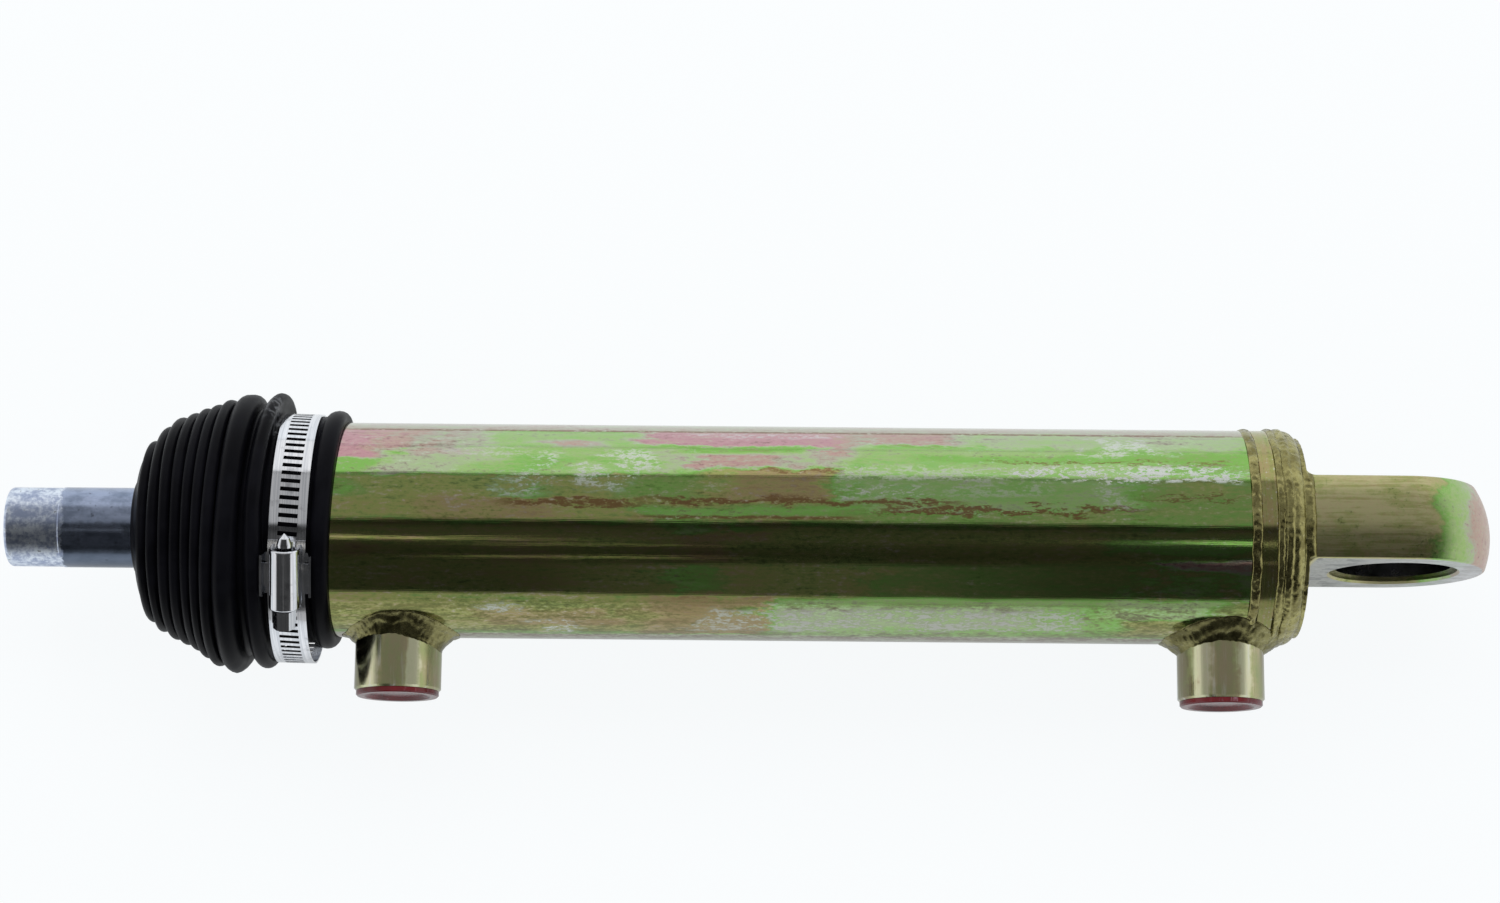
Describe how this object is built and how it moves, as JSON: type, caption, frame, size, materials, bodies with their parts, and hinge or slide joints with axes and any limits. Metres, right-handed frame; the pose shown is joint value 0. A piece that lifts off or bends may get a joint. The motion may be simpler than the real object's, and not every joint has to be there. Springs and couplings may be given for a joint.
{
  "type": "hydraulic steering cylinder",
  "caption": "Double-acting steering cylinder: plated welded barrel with base eye, side ports closed by plugs, and a rod under a clamped rubber dust boot.",
  "frame": {"origin": "centre of the base eye's bore, on the barrel's axis", "axes": "+X along the barrel from the rod end to the base eye, +Y along the eye bore, ports open towards -Y, +Z completes the frame"},
  "size_m": [0.5167, 0.1083, 0.1015],
  "materials": {
    "zinc_plate": "glossy yellow chromate over zinc plate, with green and pink iridescence",
    "weld_plate": "rippled weld metal under the same yellow chromate",
    "bush_steel": "grey rolled steel sleeve",
    "red_plastic": "soft red moulded plastic",
    "boot_rubber": "satin black moulded rubber",
    "clamp_steel": "bright stainless strip",
    "rod_chrome": "hard chrome, mottled beside a bright turned end",
    "machined_steel": "turned steel, oiled",
    "bearing_plastic": "filled bearing plastic",
    "seal_plastic": "polyurethane seal",
    "seal_rubber": "black nitrile rubber",
    "bronze": "turned bronze"
  },
  "bodies": {
    "barrel": {"barrel_tube": "zinc_plate", "base_head": "zinc_plate", "tube_weld": "weld_plate", "eye_weld": "weld_plate", "base_eye": "zinc_plate", "eye_bush": "bush_steel", "front_port_boss": "zinc_plate", "rear_port_boss": "zinc_plate", "front_port_weld": "weld_plate", "rear_port_weld": "weld_plate", "front_port_plug": "red_plastic", "rear_port_plug": "red_plastic", "dust_boot": "boot_rubber", "clamp_band": "clamp_steel", "clamp_housing": "clamp_steel", "rod_gland": "machined_steel", "rod_guide_bush": "bronze", "rod_seal": "seal_plastic", "rod_wiper": "seal_plastic", "gland_retaining_ring": "machined_steel", "gland_o_ring": "seal_rubber", "gland_backup_ring": "bearing_plastic"},
    "rod": {"piston_rod": "rod_chrome", "piston": "machined_steel", "piston_nut": "machined_steel", "piston_wear_rings": "bearing_plastic", "piston_seal": "seal_plastic", "piston_o_ring": "seal_rubber"},
    "clamp_worm": {"clamp_screw": "clamp_steel"}
  },
  "joints": [
    {"name": "rod_slide", "type": "slide", "parent": "barrel", "child": "rod", "axis": [-1, 0, 0], "range_m": [0, 0.23], "deforming": ["dust_boot"]},
    {"name": "clamp_screw_turn", "type": "hinge", "parent": "barrel", "child": "clamp_worm", "pos_m": [-0.38079, -0.02455, 0.04377], "axis": [0.0264, 0.8986, 0.4379], "continuous": true}
  ]
}
